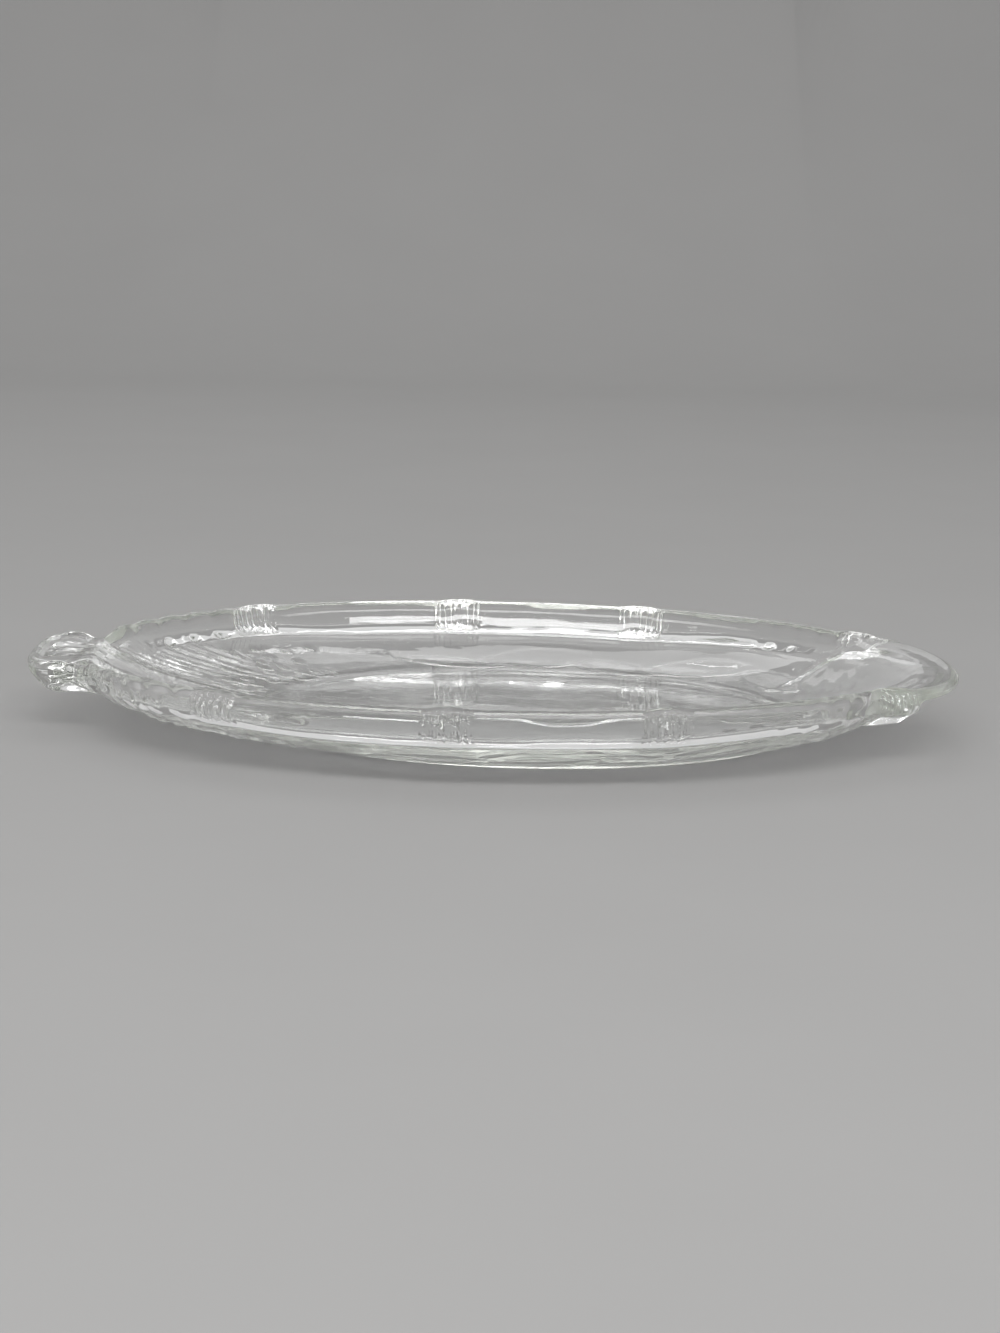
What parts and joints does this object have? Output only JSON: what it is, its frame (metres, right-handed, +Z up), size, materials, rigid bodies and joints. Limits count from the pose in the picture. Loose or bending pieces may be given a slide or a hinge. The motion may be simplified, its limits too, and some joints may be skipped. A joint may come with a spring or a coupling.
{
  "type": "serving tray",
  "caption": "Oval serving tray of clear pressed glass with a shallow dish, rounded lip, a lug handle, a broad tab handle, reeded knuckles on the rim and a low flat foot.",
  "frame": {"origin": "under the middle of the tray, on the surface that it stands on", "axes": "+X along the tray from handle to handle, +Y across the tray, +Z up"},
  "size_m": [0.38, 0.2456, 0.031],
  "materials": {
    "clear_glass": "fire-polished clear pressed glass with a faint grey-green tint"
  },
  "bodies": {
    "root": {"tray_body": "clear_glass"}
  },
  "joints": []
}
